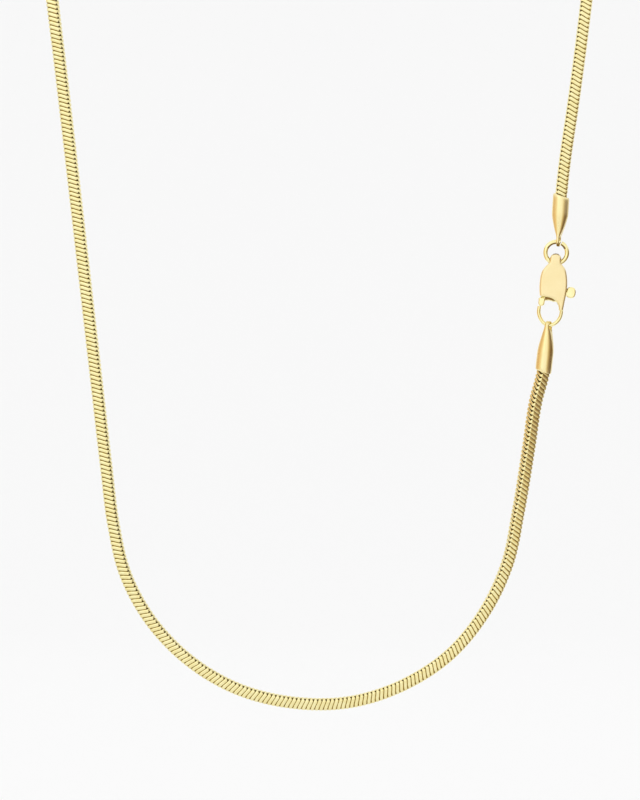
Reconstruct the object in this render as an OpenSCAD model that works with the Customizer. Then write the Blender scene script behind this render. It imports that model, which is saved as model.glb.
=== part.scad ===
// Snake chain necklace with a lobster clasp, a jump ring and two crimp ends.
// Millimetres. The origin is where the chain lies on the nape, +Z is up and the front faces -Y.

/* [Chain] */
// Width of the chain across its flats
chain_w = 2; // [1.7:0.1:2.2]
// How far each corner of the chain's square section is cut back
chain_corner = 0.45; // [0.35:0.05:0.55]

/* [Crimp ends] */
// Thickness of the rolled sheet of a crimp
crimp_wall = 0.18; // [0.15:0.01:0.3]
// Room between the chain's corners and the crimp's bore
crimp_clearance = 0.05; // [0.05:0.01:0.1]
// Rounding of the sleeve's outer edge at its mouth
mouth_round = 0.15; // [0.05:0.01:0.15]
// Length of a crimp's round sleeve
sleeve_len = 4; // [3.8:0.1:5]
// Room between the chain's end and the end of a sleeve's bore
chain_stop = 0.3; // [0.1:0.1:1]
// Length over which a sleeve is pinched flat
taper_len = 3.2; // [2.6:0.1:4]
// Length of the flat tab beyond the pinched stretch
tab_len = 1.4; // [1.3:0.1:2]
// Thickness of the upper crimp's tab, pinched tight
upper_tab_t = 0.5; // [0.45:0.05:0.7]
// Thickness of the lower crimp's tab, pinched less
lower_tab_t = 0.85; // [0.6:0.05:0.9]
// Width of the tab
tab_w = 2; // [1.9:0.05:2.2]
// Diameter of the eye through the tab
eye_d = 1.45; // [1.4:0.05:1.5]
// Width of the open seam along the sleeve
seam_w = 0.12; // [0.08:0.02:0.2]
// How far the seam stands round the sleeve from the tab's front edge
seam_turn = 90; // [60:1:120]
// Lean of the upper crimp, its mouth to the right
upper_crimp_lean = 3.4; // [0:0.2:8]
// Turn of the upper crimp about its own line
upper_crimp_turn = 192; // [174:1:200]
// Lean of the lower crimp, its tab to the right
lower_crimp_lean = 6.3; // [2:0.1:8]
// Turn of the lower crimp about its own line
lower_crimp_turn = -22; // [-30:1:6]

/* [Jump ring] */
// Outer diameter of the jump ring
ring_d = 4.32; // [4.2:0.02:5]
// Diameter of the jump ring's wire
ring_wire = 0.74; // [0.6:0.02:0.8]
// Width of the cut where the ring was opened
ring_cut = 0.06; // [0.04:0.01:0.12]
// Where the cut stands, from the picture's right, turning up
ring_cut_turn = 64; // [50:1:66]
// Room left beside the jump ring in the eye and in the clasp's neck
ring_clearance = 0.09; // [0.08:0.01:0.1]
// Lean of the jump ring below the crimp's eye
ring_lean = 12; // [8:1:16]

/* [Clasp] */
// Width of the clasp's body
clasp_w = 4.6; // [4.5:0.1:5.2]
// Thickness of the clasp's body
clasp_t = 2.6; // [2.4:0.1:3]
// Rounding of the body's edges
clasp_round = 0.3; // [0.2:0.05:0.4]
// Length from the neck's top to the body's lower edge
body_len = 7.4; // [7.3:0.1:8]
// Width of the neck
neck_w = 1.85; // [1.7:0.05:2]
// Distance of the neck's hole from the neck's top
neck_hole_drop = 1.45; // [1.3:0.05:1.5]
// Lean of the clasp, its neck to the right
clasp_lean = 6.3; // [4:0.1:8]
// Length from the neck's top to the middle of the hook's lowest wire
hook_reach = 12; // [11.9:0.02:12.6]
// Width of the hook's wire, seen from the front
hook_w = 0.62; // [0.55:0.01:0.66]
// Depth of the hook's wire, front to back
hook_t = 0.8; // [0.7:0.05:0.85]
// Room between the hook's wire and the top of the lower crimp's eye
hook_rest = 0.2; // [0.18:0.01:0.24]

/* [Lever] */
// Thickness of the lever
lever_t = 0.9; // [0.7:0.05:1]
// Thickness of the gate that closes the hook
gate_t = 1.1; // [1:0.05:1.3]
// Room on each side of the lever in the body's slot
slot_room = 0.1; // [0.08:0.01:0.15]
// Diameter of the thumb knob
knob_d = 1.6; // [1.3:0.05:1.65]
// Distance from the rivet to the middle of the knob
knob_reach = 4.05; // [4:0.05:4.2]
// Radius of the lever's boss round the rivet
boss_r = 0.68; // [0.6:0.02:0.7]
// Diameter of the rivet
rivet_d = 0.6; // [0.5:0.05:0.7]
// Room round the rivet in the lever's bore
rivet_room = 0.04; // [0.03:0.01:0.06]
// Room round the rivet in the body's bores
rivet_seat_room = 0.01; // [0.01:0.005:0.02]
// Distance of the rivet from the neck's top
rivet_drop = 6.2; // [6.1:0.05:6.3]
// Distance of the rivet to the left of the clasp's middle line
rivet_side = 0.9; // [0.85:0.05:0.95]

/* [Hidden] */
$fn = 64;
cut_past = 1;      // how far a cutting shape runs past a face
lap = 0.3;         // how far joined shapes reach into each other
taper_inset = 0.02; // the pinched stretch starts this far inside the sleeve's surface
flatness = 0.65;   // how square the pinched section becomes at the tab
tube_steps = 2;    // rings for each stretch of the chain's route
outline_steps = 4; // points for each stretch of an outline
hook_sides = 12;
taper_sides = 32;
taper_rings = 10;
rounding_sides = 12;
leg_share = 0.3;   // the hook's wire is deeper over this share of its length, at the leg
leg_swell = 0.36;  // how much deeper its half is there

front_y = -52;     // the front loop hangs in this plane
bend_depth = 8;    // the chain turns backward over this depth behind that plane

// The chain's route: x, y, z and the turn of the square section about its own line.
// From above the upper crimp up and round the neck, down the left side and along the front.
chain_route = [
    [40.8, front_y, -35, 2], [42.1, front_y, -26, 2], [43.25, front_y, -17.5, 2],
    [44.3, front_y, -9, 2], [44.9, front_y + 1, -4, 3], [45.4, front_y + 4, -0.9, 3],
    [45.8, front_y + 8.5, 0.2, 4], [46, -35, 0.4, 4], [44.4, -25.6, 0.4, 5],
    [39.8, -16.9, 0.3, 5], [32.5, -9.4, 0.2, 6], [23, -3.6, 0.1, 6], [11.9, 0, 0, 7],
    [0, 1.2, 0, 7], [-11.9, 0, 0, 7], [-23, -3.6, 0.1, 8], [-32.5, -9.4, 0.2, 8],
    [-39.8, -16.9, 0.3, 8], [-44.4, -25.6, 0.4, 9], [-46, -35, 0.4, 9],
    [-45.9, front_y + 8.5, 0.2, 10], [-45.6, front_y + 4, -0.9, 10],
    [-45.1, front_y + 1, -4, 10], [-44.5, front_y, -9, 10], [-43.4, front_y, -18, 10],
    [-42, front_y, -30, 10], [-40.4, front_y, -44, 10], [-38.8, front_y, -58, 10],
    [-37.2, front_y, -72, 10], [-35.6, front_y, -86, 10], [-34.4, front_y, -95.5, 10],
    [-32.6, front_y, -103.2, 10], [-29, front_y, -110.3, 9], [-22.5, front_y, -117.5, 7],
    [-14, front_y, -122.7, 6], [-4.5, front_y, -125.1, 6], [5, front_y, -125, 4],
    [14, front_y, -122.1, 2], [21.5, front_y, -117.2, 2], [27.5, front_y, -109.9, 7],
    [31.2, front_y, -102, 13], [33.1, front_y, -93, 19], [34.8, front_y, -82.5, 26],
    [36, front_y, -74.7, 29]
];
upper_turn = 3;    // turn of the chain's section inside the upper crimp
lower_turn = 31;   // turn of the chain's section inside the lower crimp

// A point d along a line in the front plane that leans a degrees to the right of straight up
function leaning(a, d) = [d * sin(a), 0, d * cos(a)];

chain_reach = norm([chain_w / 2, chain_w / 2 - chain_corner]);
crimp_bore_r = chain_reach + crimp_clearance;
crimp_r = crimp_bore_r + crimp_wall;
crimp_len = sleeve_len + taper_len + tab_len;
bore_len = sleeve_len - lap;
chain_seat = bore_len - chain_stop;
eye_at = crimp_len - tab_w / 2;

upper_mouth = [40.2, front_y, -40.6];
upper_eye = upper_mouth - leaning(upper_crimp_lean, eye_at);
ring_r = (ring_d - ring_wire) / 2;
ring_outside = ring_r + ring_wire / 2;
ring_inside = ring_r - ring_wire / 2;
// The ring bends and slopes inside the eye and the neck, so both clear its inner side
// where it leaves them, at these heights from its centre
ring_aside = ring_r * sin(ring_lean);
eye_leaves = sqrt(pow(ring_inside, 2) - pow(ring_aside + upper_tab_t / 2, 2));
ring_leaves = sqrt(pow(ring_inside, 2) - pow(neck_w / 2, 2));
ring_centre = upper_eye - [ring_aside, 0, eye_d / 2 - ring_clearance + eye_leaves];
neck_hole_d = ring_outside - ring_leaves + 2 * ring_clearance;
clasp_at = ring_centre - leaning(clasp_lean, (ring_outside + ring_leaves) / 2);
slot_t = lever_t + 2 * slot_room;

// Clasp shapes are drawn from the neck's hole, x to the right and y up the clasp.
rivet_at = [-rivet_side, neck_hole_drop - rivet_drop];
knob_at = rivet_at + [knob_reach, 0];
function below_neck(x, drop) = [x, neck_hole_drop - drop];

// The body's sides: share of body_len from the neck's top, then shares of clasp_w to each side
body_sides = [
    [0.215, 0.214, 0.222], [0.25, 0.246, 0.27], [0.295, 0.305, 0.345], [0.35, 0.366, 0.405],
    [0.405, 0.42, 0.438], [0.51, 0.464, 0.482], [0.67, 0.475, 0.518], [0.85, 0.455, 0.522],
    [0.98, 0.42, 0.505]
];
neck_share = 0.17; // share of body_len down which the neck keeps its width
// The lower edge of the body: share of clasp_w from the middle line and share of body_len
lower_edge = [
    [-0.37, 1], [-0.2, 0.998], [0, 1.012], [0.13, 1.05], [0.235, 1.11], [0.3, 1.19], [0.325, 1.27]
];
// The outer side of the leg below the body, in the same shares
leg_side = [[0.478, 1.16], [0.462, 1.27]];
// The hook's line from the body's leg round to the tip: share of clasp_w from the middle
// line, and height above its lowest point as a share of the hook's length below the body
hook_line = [
    [0.374, 0.913], [0.402, 0.696], [0.42, 0.511], [0.391, 0.315], [0.283, 0.135], [0.13, 0.026],
    [-0.022, 0], [-0.174, 0.065], [-0.309, 0.213], [-0.391, 0.402], [-0.398, 0.632]
];
// The slot, the lever and its gate, from the rivet: shares of clasp_w to the right and of
// body_len downward. The slot clears the lever as it swings up on the knob's side.
slot_shape = [
    [-0.174, -0.162], [0.457, -0.196], [0.565, -0.264], [0.62, -0.358], [0.913, -0.358],
    [0.913, 0.135], [0.565, 0.135], [0.5, 0.189], [0.489, 0.284], [0.457, 0.378], [-0.174, 0.378]
];
arm_top = [[-0.065, -0.081], [0.13, -0.081], [0.348, -0.047], [0.565, 0]];
web_shape = [
    [0.522, 0.108], [0.457, 0.155], [0.413, 0.236], [0.283, 0.246], [0.13, 0.232],
    [-0.022, 0.243], [-0.148, 0.243], [-0.152, 0.108]
];
gate_shape = [
    [-0.076, 0.173], [-0.196, 0.176], [-0.248, 0.196], [-0.252, 0.257], [-0.239, 0.338],
    [-0.196, 0.368], [-0.12, 0.37], [-0.043, 0.338], [-0.026, 0.27], [-0.026, 0.203],
    [-0.076, 0.173]
];
// Where the arm runs into the knob, as shares of knob_d from the knob's middle
arm_end = [[-0.28, 0.03], [-0.09, 0.25], [-0.53, 0.47]];

// Cubic curve through points, with the slope at each point set by its two neighbours
function gap(p, i) = norm([for (k = [0:min(2, len(p[i]) - 1)]) p[i + 1][k] - p[i][k]]);
function slope(p, i) = let (n = len(p) - 1)
    i == 0 ? (p[1] - p[0]) / gap(p, 0) :
    i == n ? (p[n] - p[n - 1]) / gap(p, n - 1) :
    let (a = gap(p, i - 1), b = gap(p, i))
    ((p[i] - p[i - 1]) * (b / a) + (p[i + 1] - p[i]) * (a / b)) / (a + b);
function between(p, i, t) = let (d = gap(p, i), u = 1 - t)
    p[i] * (u * u * (1 + 2 * t)) + slope(p, i) * (d * t * u * u)
    + p[i + 1] * (t * t * (1 + 2 * u)) - slope(p, i + 1) * (d * t * t * u);
function curve(p, steps) = [
    for (i = [0:len(p) - 2]) for (j = [0:steps - 1]) between(p, i, j / steps), p[len(p) - 1]
];
function unit(v) = v / norm(v);
function heading(p, i) = unit(p[min(i + 1, len(p) - 1)] - p[max(i - 1, 0)]);
function place(r) = [r[0], r[1], r[2]];

// Closed solid through rings of points, all of one count and turning left about their line
module skin(rings) {
    n = len(rings[0]);
    last = len(rings) - 1;
    points = [for (r = rings) for (q = r) q];
    sides = [
        for (k = [0:last - 1]) for (j = [0:n - 1])
            let (a = k * n + j, b = k * n + (j + 1) % n)
            for (f = [[a, b + n, b], [a, a + n, b + n]]) f
    ];
    polyhedron(points = points, faces = concat(
        [[for (j = [0:n - 1]) j]], sides, [[for (j = [n - 1:-1:0]) last * n + j]]
    ));
}

// Chain
lower_hook = clasp_at + leaning(clasp_lean, neck_hole_drop - hook_reach);
lower_eye = lower_hook - [0, 0, (eye_d - hook_w) / 2 - hook_rest];
lower_mouth = lower_eye - leaning(lower_crimp_lean, eye_at);
function row(point, turn) = [point[0], point[1], point[2], turn];
whole_route = concat(
    [row(upper_mouth - leaning(upper_crimp_lean, chain_seat), upper_turn),
     row(upper_mouth, upper_turn)],
    chain_route,
    [row(lower_mouth, lower_turn),
     row(lower_mouth + leaning(lower_crimp_lean, chain_seat), lower_turn)]
);

function face_towards(y) = let (s = min(1, max(0, (y - front_y) / bend_depth))) [0, s - 1, s];
function chain_section() = let (h = chain_w / 2, c = h - chain_corner)
    [[h, -c], [h, c], [c, h], [-c, h], [-h, c], [-h, -c], [-c, -h], [c, -h]];
function chain_ring(path, i) = let (
    here = place(path[i]),
    along = heading([for (r = path) place(r)], i),
    want = face_towards(here[1]),
    face = unit(want - (want * along) * along),
    inner = cross(face, along),
    turn = path[i][3],
    out = face * cos(turn) - inner * sin(turn),
    side = inner * cos(turn) + face * sin(turn)
) [for (q = chain_section()) here + side * q[0] + out * q[1]];

module snake_chain() {
    path = curve(whole_route, tube_steps);
    color("gold")
        skin([for (i = [0:len(path) - 1]) chain_ring(path, i)]);
}

// Crimp ends, drawn from the mouth's centre with the tab towards +Z
function squared(v, power) = sign(v) * pow(abs(v), power);
function taper_ring(share, tab_t) = let (
    ease = share * share * (3 - 2 * share),
    half_t = crimp_r + (tab_t / 2 - crimp_r) * ease - taper_inset,
    half_w = crimp_r + (tab_w / 2 - crimp_r) * ease - taper_inset,
    power = 1 - flatness * ease
) [for (j = [0:taper_sides - 1]) let (a = j * 360 / taper_sides)
    [half_t * squared(cos(a), power), half_w * squared(sin(a), power),
     sleeve_len - lap + (taper_len + lap) * share]];

module crimp(tab_t) {
    difference() {
        union() {
            rotate_extrude() polygon(concat(
                [[0, 0]],
                [for (a = [0:15:90]) [crimp_r - mouth_round * (1 - sin(a)),
                                      mouth_round * (1 - cos(a))]],
                [[crimp_r, sleeve_len], [0, sleeve_len]]
            ));
            skin([for (k = [0:taper_rings]) taper_ring(k / taper_rings, tab_t)]);
            rotate([90, 0, 90])
                linear_extrude(tab_t, center = true) {
                    translate([0, eye_at]) circle(d = tab_w);
                    translate([-tab_w / 2, sleeve_len + taper_len - lap])
                        square([tab_w, tab_len - tab_w / 2 + lap]);
                }
        }
        translate([0, 0, -cut_past])
            cylinder(h = bore_len + cut_past, r = crimp_bore_r);
        translate([0, 0, eye_at])
            rotate([0, 90, 0]) cylinder(h = 2 * crimp_r, d = eye_d, center = true);
        rotate([0, 0, seam_turn])
            translate([-seam_w / 2, -crimp_r - cut_past, -cut_past])
                cube([seam_w, crimp_r + cut_past, bore_len + cut_past]);
    }
}

module upper_crimp() {
    color("goldenrod")
        translate(upper_mouth)
            rotate([0, 180 + upper_crimp_lean, 0]) rotate([0, 0, upper_crimp_turn])
                crimp(upper_tab_t);
}

module lower_crimp() {
    color("goldenrod")
        translate(lower_mouth)
            rotate([0, lower_crimp_lean, 0]) rotate([0, 0, lower_crimp_turn]) crimp(lower_tab_t);
}

// Jump ring
module jump_ring() {
    cut_angle = ring_cut / ring_r * 180 / PI;
    color("khaki")
        translate(ring_centre) rotate([90, 0, 0])
            rotate([0, 0, ring_cut_turn + cut_angle / 2])
                rotate_extrude(angle = 360 - cut_angle)
                    translate([ring_r, 0]) circle(d = ring_wire);
}

// Clasp
module place_clasp() {
    translate(clasp_at) rotate([90, clasp_lean, 0]) children();
}

module slab(thick) {
    translate([0, 0, -thick / 2]) linear_extrude(thick) children();
}

function reversed(p) = [for (i = [len(p) - 1:-1:0]) p[i]];

module body_outline() {
    neck_foot = neck_share * body_len;
    left = concat([below_neck(-neck_w / 2, neck_foot)],
        [for (r = body_sides) below_neck(-r[1] * clasp_w, r[0] * body_len)]);
    right = concat([below_neck(neck_w / 2, neck_foot)],
        [for (r = body_sides) below_neck(r[2] * clasp_w, r[0] * body_len)],
        [for (r = leg_side) below_neck(r[0] * clasp_w, r[1] * body_len)]);
    edge = [for (r = lower_edge) below_neck(r[0] * clasp_w, r[1] * body_len)];
    top = [for (a = [0:15:180]) below_neck(0, neck_w / 2) + neck_w / 2 * [cos(a), sin(a)]];
    polygon(concat(
        curve(left, outline_steps), curve(edge, outline_steps),
        reversed(curve(right, outline_steps)), top
    ));
}

module body_shell() {
    minkowski() {
        slab(clasp_t - 2 * clasp_round) offset(delta = -clasp_round) body_outline();
        sphere(r = clasp_round, $fn = rounding_sides);
    }
}

function hook_ring(path, i) = let (
    here = path[i],
    along = heading(path, i),
    side = [-along[1], along[0]],
    past = i / (len(path) - 1),
    half_w = hook_w / 2,
    half_t = hook_t / 2 + leg_swell * max(0, leg_share - past) / leg_share
) [for (j = [0:hook_sides - 1]) let (a = (j + 0.5) * 360 / hook_sides)
    [here[0] + side[0] * half_w * cos(a), here[1] + side[1] * half_w * cos(a),
     half_t * sin(a)]];

module hook() {
    path = curve([
        for (q = hook_line) below_neck(q[0] * clasp_w, hook_reach - q[1] * (hook_reach - body_len))
    ], outline_steps);
    skin([for (i = [0:len(path) - 1]) hook_ring(path, i)]);
}

function from_rivet(shape) = [
    for (q = shape) rivet_at + [q[0] * clasp_w, -q[1] * body_len]
];

module clasp_body() {
    color("palegoldenrod")
        place_clasp() difference() {
            union() {
                body_shell();
                hook();
            }
            slab(slot_t) polygon(from_rivet(slot_shape));
            translate(rivet_at)
                cylinder(h = clasp_t + 2 * cut_past, d = rivet_d + 2 * rivet_seat_room,
                    center = true);
            rotate([0, 90, 0])
                cylinder(h = clasp_w, d = neck_hole_d, center = true);
        }
}

// Lever: boss, arm with the thumb knob on the right, web and gate on the left
module lever_outline() {
    translate(rivet_at) circle(r = boss_r);
    translate(knob_at) circle(d = knob_d);
    polygon(curve(concat(
        from_rivet(arm_top), [for (q = arm_end) knob_at + knob_d * [q[0], -q[1]]],
        from_rivet(web_shape)
    ), outline_steps));
}

module clasp_lever() {
    color("lemonchiffon")
        place_clasp() difference() {
            union() {
                slab(lever_t) lever_outline();
                slab(gate_t) polygon(curve(from_rivet(gate_shape), outline_steps));
            }
            translate(rivet_at)
                cylinder(h = clasp_t, d = rivet_d + 2 * rivet_room, center = true);
        }
}

module clasp_rivet() {
    color("darkkhaki")
        place_clasp()
            translate(rivet_at) cylinder(h = clasp_t, d = rivet_d, center = true);
}

snake_chain();
upper_crimp();
lower_crimp();
jump_ring();
clasp_body();
clasp_lever();
clasp_rivet();
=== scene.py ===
"""Snake chain necklace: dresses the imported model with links, hardware and materials."""
import math

import bmesh
import bpy
import numpy as np
from mathutils import Matrix, Vector


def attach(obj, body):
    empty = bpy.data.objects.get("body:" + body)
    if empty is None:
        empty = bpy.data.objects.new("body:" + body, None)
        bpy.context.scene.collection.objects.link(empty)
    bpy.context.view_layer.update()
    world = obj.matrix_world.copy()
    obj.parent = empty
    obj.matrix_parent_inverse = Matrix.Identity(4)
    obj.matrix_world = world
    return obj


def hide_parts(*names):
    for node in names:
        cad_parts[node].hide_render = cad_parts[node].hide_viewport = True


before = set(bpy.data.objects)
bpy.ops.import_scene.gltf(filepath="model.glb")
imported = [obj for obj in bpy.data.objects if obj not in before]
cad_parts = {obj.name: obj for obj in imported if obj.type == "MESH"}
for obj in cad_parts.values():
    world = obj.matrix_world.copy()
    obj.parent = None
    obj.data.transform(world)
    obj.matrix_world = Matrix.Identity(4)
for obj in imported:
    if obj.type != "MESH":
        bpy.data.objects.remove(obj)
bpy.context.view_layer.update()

MM = 0.001
BODY = "necklace"
LEVER = "lever"

# Sizes in millimetres and angles in degrees, as in the part's source
FRONT_Y = -52.0          # the front loop hangs in this plane
BEND_DEPTH = 8.0         # the chain turns backward over this depth behind it
CHAIN_W = 2.0
CHAIN_CORNER = 0.45
CRIMP_WALL = 0.18
CRIMP_CLEARANCE = 0.05
SLEEVE_LEN = 4.0
BORE_SHORT = 0.3         # the bore ends this far below the sleeve's end
CHAIN_STOP = 0.3
TAPER_LEN = 3.2
TAB_LEN = 1.4
UPPER_TAB_T = 0.5
LOWER_TAB_T = 0.85
TAB_W = 2.0
EYE_D = 1.45
UPPER_LEAN = 3.4
UPPER_TURN = 192.0
LOWER_LEAN = 6.3
LOWER_TURN = -22.0
RING_D = 4.32
RING_WIRE = 0.74
RING_CUT_TURN = 64.0
RING_CLEARANCE = 0.09
RING_LEAN = 12.0
CLASP_W = 4.6
CLASP_T = 2.6
BODY_LEN = 7.4
NECK_W = 1.85
NECK_SHARE = 0.17        # share of the body's length down which the neck keeps its width
NECK_HOLE_DROP = 1.45
CLASP_LEAN = 6.3
HOOK_REACH = 12.0
HOOK_W = 0.62
HOOK_T = 0.8
HOOK_REST = 0.2
LEG_SHARE = 0.3          # the hook's wire is deeper over this share of its length, at the leg
LEG_SWELL = 0.36         # how much deeper its half is there
LEVER_T = 0.9
GATE_T = 1.1
SLOT_ROOM = 0.1
KNOB_D = 1.6
KNOB_REACH = 4.05
BOSS_R = 0.68
RIVET_D = 0.6
RIVET_ROOM = 0.04
RIVET_DROP = 6.2
RIVET_SIDE = 0.9

# The chain's chosen points, x, y, z and turn, repeated from the part's source
CHAIN_ROUTE = [
    [40.8, FRONT_Y, -35, 2], [42.1, FRONT_Y, -26, 2], [43.25, FRONT_Y, -17.5, 2],
    [44.3, FRONT_Y, -9, 2], [44.9, FRONT_Y + 1, -4, 3], [45.4, FRONT_Y + 4, -0.9, 3],
    [45.8, FRONT_Y + 8.5, 0.2, 4], [46, -35, 0.4, 4], [44.4, -25.6, 0.4, 5],
    [39.8, -16.9, 0.3, 5], [32.5, -9.4, 0.2, 6], [23, -3.6, 0.1, 6], [11.9, 0, 0, 7],
    [0, 1.2, 0, 7], [-11.9, 0, 0, 7], [-23, -3.6, 0.1, 8], [-32.5, -9.4, 0.2, 8],
    [-39.8, -16.9, 0.3, 8], [-44.4, -25.6, 0.4, 9], [-46, -35, 0.4, 9],
    [-45.9, FRONT_Y + 8.5, 0.2, 10], [-45.6, FRONT_Y + 4, -0.9, 10],
    [-45.1, FRONT_Y + 1, -4, 10], [-44.5, FRONT_Y, -9, 10], [-43.4, FRONT_Y, -18, 10],
    [-42, FRONT_Y, -30, 10], [-40.4, FRONT_Y, -44, 10], [-38.8, FRONT_Y, -58, 10],
    [-37.2, FRONT_Y, -72, 10], [-35.6, FRONT_Y, -86, 10], [-34.4, FRONT_Y, -95.5, 10],
    [-32.6, FRONT_Y, -103.2, 10], [-29, FRONT_Y, -110.3, 9], [-22.5, FRONT_Y, -117.5, 7],
    [-14, FRONT_Y, -122.7, 6], [-4.5, FRONT_Y, -125.1, 6], [5, FRONT_Y, -125, 4],
    [14, FRONT_Y, -122.1, 2], [21.5, FRONT_Y, -117.2, 2], [27.5, FRONT_Y, -109.9, 7],
    [31.2, FRONT_Y, -102, 13], [33.1, FRONT_Y, -93, 19], [34.8, FRONT_Y, -82.5, 26],
    [36, FRONT_Y, -74.7, 29],
]
UPPER_CHAIN_TURN = 3.0
LOWER_CHAIN_TURN = 31.0


def leaning(degrees, d):
    """A step of length d in the front plane, leaning to the right of straight up."""
    a = math.radians(degrees)
    return np.array([d * math.sin(a), 0.0, d * math.cos(a)])


def unit(v):
    return v / np.linalg.norm(v, axis=-1, keepdims=True)


# Places worked out from the sizes, as in the part's source
BORE_R = math.hypot(CHAIN_W / 2, CHAIN_W / 2 - CHAIN_CORNER) + CRIMP_CLEARANCE
CRIMP_R = BORE_R + CRIMP_WALL
CHAIN_SEAT = SLEEVE_LEN - BORE_SHORT - CHAIN_STOP
EYE_AT = SLEEVE_LEN + TAPER_LEN + TAB_LEN - TAB_W / 2
UPPER_MOUTH = np.array([40.2, FRONT_Y, -40.6])
UPPER_EYE = UPPER_MOUTH - leaning(UPPER_LEAN, EYE_AT)
RING_R = (RING_D - RING_WIRE) / 2
RING_INSIDE = RING_R - RING_WIRE / 2
RING_ASIDE = RING_R * math.sin(math.radians(RING_LEAN))
EYE_LEAVES = math.sqrt(RING_INSIDE ** 2 - (RING_ASIDE + UPPER_TAB_T / 2) ** 2)
RING_LEAVES = math.sqrt(RING_INSIDE ** 2 - (NECK_W / 2) ** 2)
RING_CENTRE = UPPER_EYE - np.array([RING_ASIDE, 0.0, EYE_D / 2 - RING_CLEARANCE + EYE_LEAVES])
NECK_HOLE_D = RING_D / 2 - RING_LEAVES + 2 * RING_CLEARANCE
CLASP_AT = RING_CENTRE - leaning(CLASP_LEAN, (RING_D / 2 + RING_LEAVES) / 2)
LOWER_HOOK = CLASP_AT + leaning(CLASP_LEAN, NECK_HOLE_DROP - HOOK_REACH)
LOWER_EYE = LOWER_HOOK - np.array([0.0, 0.0, (EYE_D - HOOK_W) / 2 - HOOK_REST])
LOWER_MOUTH = LOWER_EYE - leaning(LOWER_LEAN, EYE_AT)
SLOT_T = LEVER_T + 2 * SLOT_ROOM
RIVET_AT = np.array([-RIVET_SIDE, NECK_HOLE_DROP - RIVET_DROP])
KNOB_AT = RIVET_AT + np.array([KNOB_REACH, 0.0])


def curve(points, steps):
    """Rows along a curve through points, with each point's slope set by its two neighbours."""
    p = np.asarray(points, float)
    gaps = np.linalg.norm(np.diff(p[:, :3], axis=0), axis=1)
    slopes = np.empty_like(p)
    slopes[0] = (p[1] - p[0]) / gaps[0]
    slopes[-1] = (p[-1] - p[-2]) / gaps[-1]
    for i in range(1, len(p) - 1):
        a, b = gaps[i - 1], gaps[i]
        slopes[i] = ((p[i] - p[i - 1]) * (b / a) + (p[i + 1] - p[i]) * (a / b)) / (a + b)
    rows = []
    for i in range(len(p) - 1):
        for j in range(steps):
            t = j / steps
            u = 1 - t
            d = gaps[i]
            rows.append(
                p[i] * (u * u * (1 + 2 * t)) + slopes[i] * (d * t * u * u)
                + p[i + 1] * (t * t * (1 + 2 * u)) - slopes[i + 1] * (d * t * t * u)
            )
    rows.append(p[-1])
    return np.array(rows)


def rotation(degrees, axis):
    return Matrix.Rotation(math.radians(degrees), 4, axis)


# Objects
def shown(name, mesh, materials):
    """The object that shows a mesh, with these materials."""
    for material in materials:
        mesh.materials.append(material)
    obj = bpy.data.objects.new(name, mesh)
    bpy.context.scene.collection.objects.link(obj)
    return obj


def new_object(name, verts, faces, materials, place=None, scale=MM):
    """An object from points in millimetres, put in its place and then scaled."""
    mesh = bpy.data.meshes.new(name)
    mesh.from_pydata([tuple(v) for v in verts], [], [tuple(int(i) for i in f) for f in faces])
    mesh.validate()
    mesh.transform(Matrix.Scale(scale, 4) @ (place or Matrix.Identity(4)))
    mesh.polygons.foreach_set("use_smooth", [True] * len(mesh.polygons))
    return shown(name, mesh, materials)


def quad_object(name, points, quads, materials, slots=None):
    """A smooth object from points in metres and the quads between them."""
    count = len(quads)
    mesh = bpy.data.meshes.new(name)
    mesh.vertices.add(len(points))
    mesh.vertices.foreach_set("co", np.asarray(points, np.float32).ravel())
    mesh.loops.add(count * 4)
    mesh.loops.foreach_set("vertex_index", np.asarray(quads, np.int32).ravel())
    mesh.polygons.add(count)
    mesh.polygons.foreach_set("loop_start", np.arange(0, count * 4, 4, dtype=np.int32))
    mesh.polygons.foreach_set("loop_total", np.full(count, 4, np.int32))
    if slots is not None:
        mesh.polygons.foreach_set("material_index", np.asarray(slots, np.int32))
    mesh.update(calc_edges=True)
    mesh.polygons.foreach_set("use_smooth", np.ones(count, bool))
    return shown(name, mesh, materials)


def grid_object(name, points, materials, slots=None, close_rows=False):
    """An object through a grid of points, rows by columns, in metres."""
    rows, cols = points.shape[:2]
    idx = np.arange(rows * cols).reshape(rows, cols)
    if close_rows:
        idx = np.concatenate([idx, idx[:, :1]], axis=1)
    quads = np.stack([idx[:-1, :-1], idx[1:, :-1], idx[1:, 1:], idx[:-1, 1:]], axis=-1)
    return quad_object(name, points.reshape(-1, 3), quads.reshape(-1, 4), materials, slots)


def tube_faces(rows, sides):
    """The quads of a tube whose points are numbered round each row."""
    faces = []
    for i in range(rows - 1):
        for k in range(sides):
            k2 = (k + 1) % sides
            faces.append((i * sides + k, i * sides + k2, (i + 1) * sides + k2, (i + 1) * sides + k))
    return faces


def lathe(name, profile, steps, material, place=None, scale=MM):
    """A closed body turned about X through (x, radius) pairs that start and end on the axis."""
    ring_rows = profile[1:-1]
    verts = []
    for x, r in ring_rows:
        for k in range(steps):
            a = 2 * math.pi * k / steps
            verts.append((x, r * math.cos(a), r * math.sin(a)))
    verts += [(profile[0][0], 0, 0), (profile[-1][0], 0, 0)]
    n = len(ring_rows)
    faces = tube_faces(n, steps)
    for k in range(steps):
        k2 = (k + 1) % steps
        faces.append((n * steps, k2, k))
        faces.append((n * steps + 1, (n - 1) * steps + k, (n - 1) * steps + k2))
    return new_object(name, verts, faces, [material], place, scale)


def both_ends(profile):
    """A profile from its left end to its middle, and back to the same end on the right."""
    return profile + [(-x, r) for x, r in reversed(profile)]


def finished_mesh(obj):
    """The mesh that an object comes to, with its modifiers or its curve worked out."""
    graph = bpy.context.evaluated_depsgraph_get()
    graph.update()
    return bpy.data.meshes.new_from_object(obj.evaluated_get(graph))


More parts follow.
